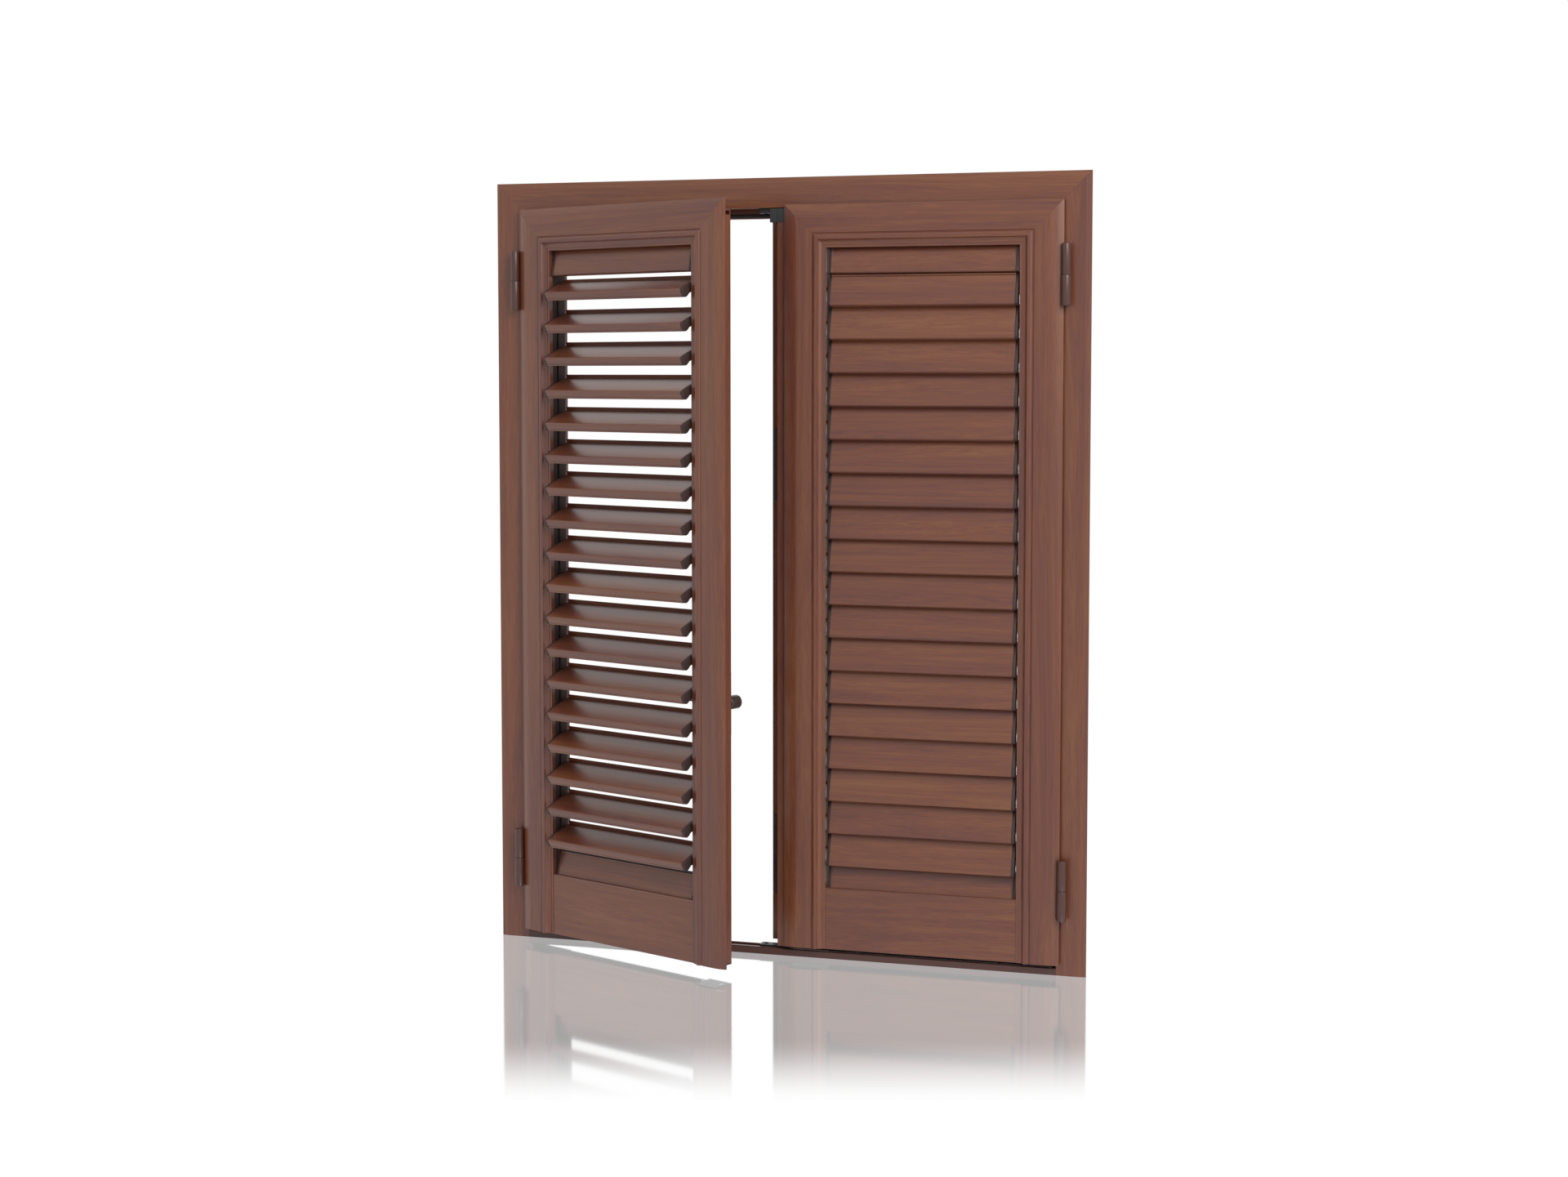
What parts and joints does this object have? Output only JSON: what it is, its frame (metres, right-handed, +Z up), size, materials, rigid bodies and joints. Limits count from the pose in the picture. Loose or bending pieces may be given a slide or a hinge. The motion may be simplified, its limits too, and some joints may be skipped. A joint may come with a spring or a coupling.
{
  "type": "louvred shutters",
  "caption": "Pair of louvred shutter leaves with turning slats, hinged in their own frame with threshold, locking rods and flush bolts; one leaf ajar.",
  "frame": {"origin": "middle of the threshold's underside, half way between the jambs and between the frame's front face and its stop", "axes": "+X to the right along the wall, +Y into the wall, +Z up"},
  "size_m": [1.136, 0.2729, 1.44],
  "materials": {
    "coated_frame": "satin wood-grain coating",
    "coated_threshold": "satin wood-grain coating",
    "coated_leaf": "satin wood-grain coating",
    "coated_louvre": "satin wood-grain coating",
    "channel_plastic": "matt moulded",
    "hinge_metal": "satin paint",
    "rod_metal": "zinc plated",
    "handle_metal": "satin paint",
    "bolt_metal": "satin paint"
  },
  "bodies": {
    "frame": {"frame_jambs": "coated_frame", "frame_head": "coated_frame", "frame_threshold": "coated_threshold", "frame_hinge_pins": "hinge_metal"},
    "left_leaf": {"left_hinge_stile": "coated_leaf", "left_meeting_stile": "coated_leaf", "left_top_rail": "coated_leaf", "left_bottom_rail": "coated_leaf", "left_pivot_channels": "channel_plastic", "left_hinge_knuckles": "hinge_metal", "handle_plate": "handle_metal"},
    "right_leaf": {"right_hinge_stile": "coated_leaf", "right_meeting_stile": "coated_leaf", "right_top_rail": "coated_leaf", "right_bottom_rail": "coated_leaf", "right_pivot_channels": "channel_plastic", "right_hinge_knuckles": "hinge_metal"},
    "left_louvre_01": {"left_louvre_01": "coated_louvre"},
    "left_louvre_02": {"left_louvre_02": "coated_louvre"},
    "left_louvre_03": {"left_louvre_03": "coated_louvre"},
    "left_louvre_04": {"left_louvre_04": "coated_louvre"},
    "left_louvre_05": {"left_louvre_05": "coated_louvre"},
    "left_louvre_06": {"left_louvre_06": "coated_louvre"},
    "left_louvre_07": {"left_louvre_07": "coated_louvre"},
    "left_louvre_08": {"left_louvre_08": "coated_louvre"},
    "left_louvre_09": {"left_louvre_09": "coated_louvre"},
    "left_louvre_10": {"left_louvre_10": "coated_louvre"},
    "left_louvre_11": {"left_louvre_11": "coated_louvre"},
    "left_louvre_12": {"left_louvre_12": "coated_louvre"},
    "left_louvre_13": {"left_louvre_13": "coated_louvre"},
    "left_louvre_14": {"left_louvre_14": "coated_louvre"},
    "left_louvre_15": {"left_louvre_15": "coated_louvre"},
    "left_louvre_16": {"left_louvre_16": "coated_louvre"},
    "left_louvre_17": {"left_louvre_17": "coated_louvre"},
    "left_louvre_18": {"left_louvre_18": "coated_louvre"},
    "right_louvre_01": {"right_louvre_01": "coated_louvre"},
    "right_louvre_02": {"right_louvre_02": "coated_louvre"},
    "right_louvre_03": {"right_louvre_03": "coated_louvre"},
    "right_louvre_04": {"right_louvre_04": "coated_louvre"},
    "right_louvre_05": {"right_louvre_05": "coated_louvre"},
    "right_louvre_06": {"right_louvre_06": "coated_louvre"},
    "right_louvre_07": {"right_louvre_07": "coated_louvre"},
    "right_louvre_08": {"right_louvre_08": "coated_louvre"},
    "right_louvre_09": {"right_louvre_09": "coated_louvre"},
    "right_louvre_10": {"right_louvre_10": "coated_louvre"},
    "right_louvre_11": {"right_louvre_11": "coated_louvre"},
    "right_louvre_12": {"right_louvre_12": "coated_louvre"},
    "right_louvre_13": {"right_louvre_13": "coated_louvre"},
    "right_louvre_14": {"right_louvre_14": "coated_louvre"},
    "right_louvre_15": {"right_louvre_15": "coated_louvre"},
    "right_louvre_16": {"right_louvre_16": "coated_louvre"},
    "right_louvre_17": {"right_louvre_17": "coated_louvre"},
    "right_louvre_18": {"right_louvre_18": "coated_louvre"},
    "left_control_rod": {"left_control_rod": "rod_metal"},
    "right_control_rod": {"right_control_rod": "rod_metal"},
    "handle_lever": {"handle_lever": "handle_metal"},
    "lock_rod_upper": {"lock_rod_upper": "rod_metal"},
    "lock_rod_lower": {"lock_rod_lower": "rod_metal"},
    "right_bolt_upper": {"right_bolt_upper": "bolt_metal"},
    "right_bolt_lower": {"right_bolt_lower": "bolt_metal"}
  },
  "joints": [
    {"name": "left_leaf_swing", "type": "hinge", "parent": "frame", "child": "left_leaf", "pos_m": [-0.5255, -0.0365, 0.72], "axis": [0, 0, -1], "range_deg": [-23, 147]},
    {"name": "right_leaf_swing", "type": "hinge", "parent": "frame", "child": "right_leaf", "pos_m": [0.5255, -0.0365, 0.72], "axis": [0, 0, 1], "range_deg": [0, 170]},
    {"name": "left_louvre_01_tilt", "type": "hinge", "parent": "left_leaf", "child": "left_louvre_01", "pos_m": [-0.27494, -0.12059, 1.236], "axis": [0.9205, -0.3907, 0], "range_deg": [-9, 51]},
    {"name": "left_louvre_02_tilt", "type": "hinge", "parent": "left_leaf", "child": "left_louvre_02", "pos_m": [-0.27494, -0.12059, 1.1755], "axis": [0.9205, -0.3907, 0], "range_deg": [-9, 51]},
    {"name": "left_louvre_03_tilt", "type": "hinge", "parent": "left_leaf", "child": "left_louvre_03", "pos_m": [-0.27494, -0.12059, 1.115], "axis": [0.9205, -0.3907, 0], "range_deg": [-9, 51]},
    {"name": "left_louvre_04_tilt", "type": "hinge", "parent": "left_leaf", "child": "left_louvre_04", "pos_m": [-0.27494, -0.12059, 1.0545], "axis": [0.9205, -0.3907, 0], "range_deg": [-9, 51]},
    {"name": "left_louvre_05_tilt", "type": "hinge", "parent": "left_leaf", "child": "left_louvre_05", "pos_m": [-0.27494, -0.12059, 0.994], "axis": [0.9205, -0.3907, 0], "range_deg": [-9, 51]},
    {"name": "left_louvre_06_tilt", "type": "hinge", "parent": "left_leaf", "child": "left_louvre_06", "pos_m": [-0.27494, -0.12059, 0.9335], "axis": [0.9205, -0.3907, 0], "range_deg": [-9, 51]},
    {"name": "left_louvre_07_tilt", "type": "hinge", "parent": "left_leaf", "child": "left_louvre_07", "pos_m": [-0.27494, -0.12059, 0.873], "axis": [0.9205, -0.3907, 0], "range_deg": [-9, 51]},
    {"name": "left_louvre_08_tilt", "type": "hinge", "parent": "left_leaf", "child": "left_louvre_08", "pos_m": [-0.27494, -0.12059, 0.8125], "axis": [0.9205, -0.3907, 0], "range_deg": [-9, 51]},
    {"name": "left_louvre_09_tilt", "type": "hinge", "parent": "left_leaf", "child": "left_louvre_09", "pos_m": [-0.27494, -0.12059, 0.752], "axis": [0.9205, -0.3907, 0], "range_deg": [-9, 51]},
    {"name": "left_louvre_10_tilt", "type": "hinge", "parent": "left_leaf", "child": "left_louvre_10", "pos_m": [-0.27494, -0.12059, 0.6915], "axis": [0.9205, -0.3907, 0], "range_deg": [-9, 51]},
    {"name": "left_louvre_11_tilt", "type": "hinge", "parent": "left_leaf", "child": "left_louvre_11", "pos_m": [-0.27494, -0.12059, 0.631], "axis": [0.9205, -0.3907, 0], "range_deg": [-9, 51]},
    {"name": "left_louvre_12_tilt", "type": "hinge", "parent": "left_leaf", "child": "left_louvre_12", "pos_m": [-0.27494, -0.12059, 0.5705], "axis": [0.9205, -0.3907, 0], "range_deg": [-9, 51]},
    {"name": "left_louvre_13_tilt", "type": "hinge", "parent": "left_leaf", "child": "left_louvre_13", "pos_m": [-0.27494, -0.12059, 0.51], "axis": [0.9205, -0.3907, 0], "range_deg": [-9, 51]},
    {"name": "left_louvre_14_tilt", "type": "hinge", "parent": "left_leaf", "child": "left_louvre_14", "pos_m": [-0.27494, -0.12059, 0.4495], "axis": [0.9205, -0.3907, 0], "range_deg": [-9, 51]},
    {"name": "left_louvre_15_tilt", "type": "hinge", "parent": "left_leaf", "child": "left_louvre_15", "pos_m": [-0.27494, -0.12059, 0.389], "axis": [0.9205, -0.3907, 0], "range_deg": [-9, 51]},
    {"name": "left_louvre_16_tilt", "type": "hinge", "parent": "left_leaf", "child": "left_louvre_16", "pos_m": [-0.27494, -0.12059, 0.3285], "axis": [0.9205, -0.3907, 0], "range_deg": [-9, 51]},
    {"name": "left_louvre_17_tilt", "type": "hinge", "parent": "left_leaf", "child": "left_louvre_17", "pos_m": [-0.27494, -0.12059, 0.268], "axis": [0.9205, -0.3907, 0], "range_deg": [-9, 51]},
    {"name": "left_louvre_18_tilt", "type": "hinge", "parent": "left_leaf", "child": "left_louvre_18", "pos_m": [-0.27494, -0.12059, 0.2075], "axis": [0.9205, -0.3907, 0], "range_deg": [-9, 51]},
    {"name": "right_louvre_01_tilt", "type": "hinge", "parent": "right_leaf", "child": "right_louvre_01", "pos_m": [0.262, -0.016, 1.236], "axis": [1, 0, 0], "range_deg": [-60, 0]},
    {"name": "right_louvre_02_tilt", "type": "hinge", "parent": "right_leaf", "child": "right_louvre_02", "pos_m": [0.262, -0.016, 1.1755], "axis": [1, 0, 0], "range_deg": [-60, 0]},
    {"name": "right_louvre_03_tilt", "type": "hinge", "parent": "right_leaf", "child": "right_louvre_03", "pos_m": [0.262, -0.016, 1.115], "axis": [1, 0, 0], "range_deg": [-60, 0]},
    {"name": "right_louvre_04_tilt", "type": "hinge", "parent": "right_leaf", "child": "right_louvre_04", "pos_m": [0.262, -0.016, 1.0545], "axis": [1, 0, 0], "range_deg": [-60, 0]},
    {"name": "right_louvre_05_tilt", "type": "hinge", "parent": "right_leaf", "child": "right_louvre_05", "pos_m": [0.262, -0.016, 0.994], "axis": [1, 0, 0], "range_deg": [-60, 0]},
    {"name": "right_louvre_06_tilt", "type": "hinge", "parent": "right_leaf", "child": "right_louvre_06", "pos_m": [0.262, -0.016, 0.9335], "axis": [1, 0, 0], "range_deg": [-60, 0]},
    {"name": "right_louvre_07_tilt", "type": "hinge", "parent": "right_leaf", "child": "right_louvre_07", "pos_m": [0.262, -0.016, 0.873], "axis": [1, 0, 0], "range_deg": [-60, 0]},
    {"name": "right_louvre_08_tilt", "type": "hinge", "parent": "right_leaf", "child": "right_louvre_08", "pos_m": [0.262, -0.016, 0.8125], "axis": [1, 0, 0], "range_deg": [-60, 0]},
    {"name": "right_louvre_09_tilt", "type": "hinge", "parent": "right_leaf", "child": "right_louvre_09", "pos_m": [0.262, -0.016, 0.752], "axis": [1, 0, 0], "range_deg": [-60, 0]},
    {"name": "right_louvre_10_tilt", "type": "hinge", "parent": "right_leaf", "child": "right_louvre_10", "pos_m": [0.262, -0.016, 0.6915], "axis": [1, 0, 0], "range_deg": [-60, 0]},
    {"name": "right_louvre_11_tilt", "type": "hinge", "parent": "right_leaf", "child": "right_louvre_11", "pos_m": [0.262, -0.016, 0.631], "axis": [1, 0, 0], "range_deg": [-60, 0]},
    {"name": "right_louvre_12_tilt", "type": "hinge", "parent": "right_leaf", "child": "right_louvre_12", "pos_m": [0.262, -0.016, 0.5705], "axis": [1, 0, 0], "range_deg": [-60, 0]},
    {"name": "right_louvre_13_tilt", "type": "hinge", "parent": "right_leaf", "child": "right_louvre_13", "pos_m": [0.262, -0.016, 0.51], "axis": [1, 0, 0], "range_deg": [-60, 0]},
    {"name": "right_louvre_14_tilt", "type": "hinge", "parent": "right_leaf", "child": "right_louvre_14", "pos_m": [0.262, -0.016, 0.4495], "axis": [1, 0, 0], "range_deg": [-60, 0]},
    {"name": "right_louvre_15_tilt", "type": "hinge", "parent": "right_leaf", "child": "right_louvre_15", "pos_m": [0.262, -0.016, 0.389], "axis": [1, 0, 0], "range_deg": [-60, 0]},
    {"name": "right_louvre_16_tilt", "type": "hinge", "parent": "right_leaf", "child": "right_louvre_16", "pos_m": [0.262, -0.016, 0.3285], "axis": [1, 0, 0], "range_deg": [-60, 0]},
    {"name": "right_louvre_17_tilt", "type": "hinge", "parent": "right_leaf", "child": "right_louvre_17", "pos_m": [0.262, -0.016, 0.268], "axis": [1, 0, 0], "range_deg": [-60, 0]},
    {"name": "right_louvre_18_tilt", "type": "hinge", "parent": "right_leaf", "child": "right_louvre_18", "pos_m": [0.262, -0.016, 0.2075], "axis": [1, 0, 0], "range_deg": [-60, 0]},
    {"name": "left_control_rod_slide", "type": "slide", "parent": "left_leaf", "child": "left_control_rod", "axis": [0, 0, 1], "range_m": [-0.0012, 0.0065]},
    {"name": "right_control_rod_slide", "type": "slide", "parent": "right_leaf", "child": "right_control_rod", "axis": [0, 0, 1], "range_m": [-0.0076, 0]},
    {"name": "handle_turn", "type": "hinge", "parent": "left_leaf", "child": "handle_lever", "pos_m": [-0.0669, -0.17305, 0.49], "axis": [-0.3907, -0.9205, 0], "range_deg": [0, 90]},
    {"name": "lock_rod_upper_slide", "type": "slide", "parent": "left_leaf", "child": "lock_rod_upper", "axis": [0, 0, 1], "range_m": [0, 0.0151]},
    {"name": "lock_rod_lower_slide", "type": "slide", "parent": "left_leaf", "child": "lock_rod_lower", "axis": [0, 0, -1], "range_m": [0, 0.0151]},
    {"name": "right_bolt_upper_slide", "type": "slide", "parent": "right_leaf", "child": "right_bolt_upper", "axis": [0, 0, 1], "range_m": [0, 0.015]},
    {"name": "right_bolt_lower_slide", "type": "slide", "parent": "right_leaf", "child": "right_bolt_lower", "axis": [0, 0, -1], "range_m": [0, 0.015]}
  ],
  "couplings": [
    {"joint": "left_louvre_02_tilt", "follows": "left_louvre_01_tilt", "ratio": 1},
    {"joint": "left_louvre_03_tilt", "follows": "left_louvre_01_tilt", "ratio": 1},
    {"joint": "left_louvre_04_tilt", "follows": "left_louvre_01_tilt", "ratio": 1},
    {"joint": "left_louvre_05_tilt", "follows": "left_louvre_01_tilt", "ratio": 1},
    {"joint": "left_louvre_06_tilt", "follows": "left_louvre_01_tilt", "ratio": 1},
    {"joint": "left_louvre_07_tilt", "follows": "left_louvre_01_tilt", "ratio": 1},
    {"joint": "left_louvre_08_tilt", "follows": "left_louvre_01_tilt", "ratio": 1},
    {"joint": "left_louvre_09_tilt", "follows": "left_louvre_01_tilt", "ratio": 1},
    {"joint": "left_louvre_10_tilt", "follows": "left_louvre_01_tilt", "ratio": 1},
    {"joint": "left_louvre_11_tilt", "follows": "left_louvre_01_tilt", "ratio": 1},
    {"joint": "left_louvre_12_tilt", "follows": "left_louvre_01_tilt", "ratio": 1},
    {"joint": "left_louvre_13_tilt", "follows": "left_louvre_01_tilt", "ratio": 1},
    {"joint": "left_louvre_14_tilt", "follows": "left_louvre_01_tilt", "ratio": 1},
    {"joint": "left_louvre_15_tilt", "follows": "left_louvre_01_tilt", "ratio": 1},
    {"joint": "left_louvre_16_tilt", "follows": "left_louvre_01_tilt", "ratio": 1},
    {"joint": "left_louvre_17_tilt", "follows": "left_louvre_01_tilt", "ratio": 1},
    {"joint": "left_louvre_18_tilt", "follows": "left_louvre_01_tilt", "ratio": 1},
    {"joint": "right_louvre_02_tilt", "follows": "right_louvre_01_tilt", "ratio": 1},
    {"joint": "right_louvre_03_tilt", "follows": "right_louvre_01_tilt", "ratio": 1},
    {"joint": "right_louvre_04_tilt", "follows": "right_louvre_01_tilt", "ratio": 1},
    {"joint": "right_louvre_05_tilt", "follows": "right_louvre_01_tilt", "ratio": 1},
    {"joint": "right_louvre_06_tilt", "follows": "right_louvre_01_tilt", "ratio": 1},
    {"joint": "right_louvre_07_tilt", "follows": "right_louvre_01_tilt", "ratio": 1},
    {"joint": "right_louvre_08_tilt", "follows": "right_louvre_01_tilt", "ratio": 1},
    {"joint": "right_louvre_09_tilt", "follows": "right_louvre_01_tilt", "ratio": 1},
    {"joint": "right_louvre_10_tilt", "follows": "right_louvre_01_tilt", "ratio": 1},
    {"joint": "right_louvre_11_tilt", "follows": "right_louvre_01_tilt", "ratio": 1},
    {"joint": "right_louvre_12_tilt", "follows": "right_louvre_01_tilt", "ratio": 1},
    {"joint": "right_louvre_13_tilt", "follows": "right_louvre_01_tilt", "ratio": 1},
    {"joint": "right_louvre_14_tilt", "follows": "right_louvre_01_tilt", "ratio": 1},
    {"joint": "right_louvre_15_tilt", "follows": "right_louvre_01_tilt", "ratio": 1},
    {"joint": "right_louvre_16_tilt", "follows": "right_louvre_01_tilt", "ratio": 1},
    {"joint": "right_louvre_17_tilt", "follows": "right_louvre_01_tilt", "ratio": 1},
    {"joint": "right_louvre_18_tilt", "follows": "right_louvre_01_tilt", "ratio": 1},
    {"joint": "left_control_rod_slide", "follows": "left_louvre_01_tilt", "m_per_rad": 0.007162},
    {"joint": "right_control_rod_slide", "follows": "right_louvre_01_tilt", "m_per_rad": 0.007162},
    {"joint": "lock_rod_upper_slide", "follows": "handle_turn", "m_per_rad": 0.009549},
    {"joint": "lock_rod_lower_slide", "follows": "handle_turn", "m_per_rad": 0.009549}
  ]
}
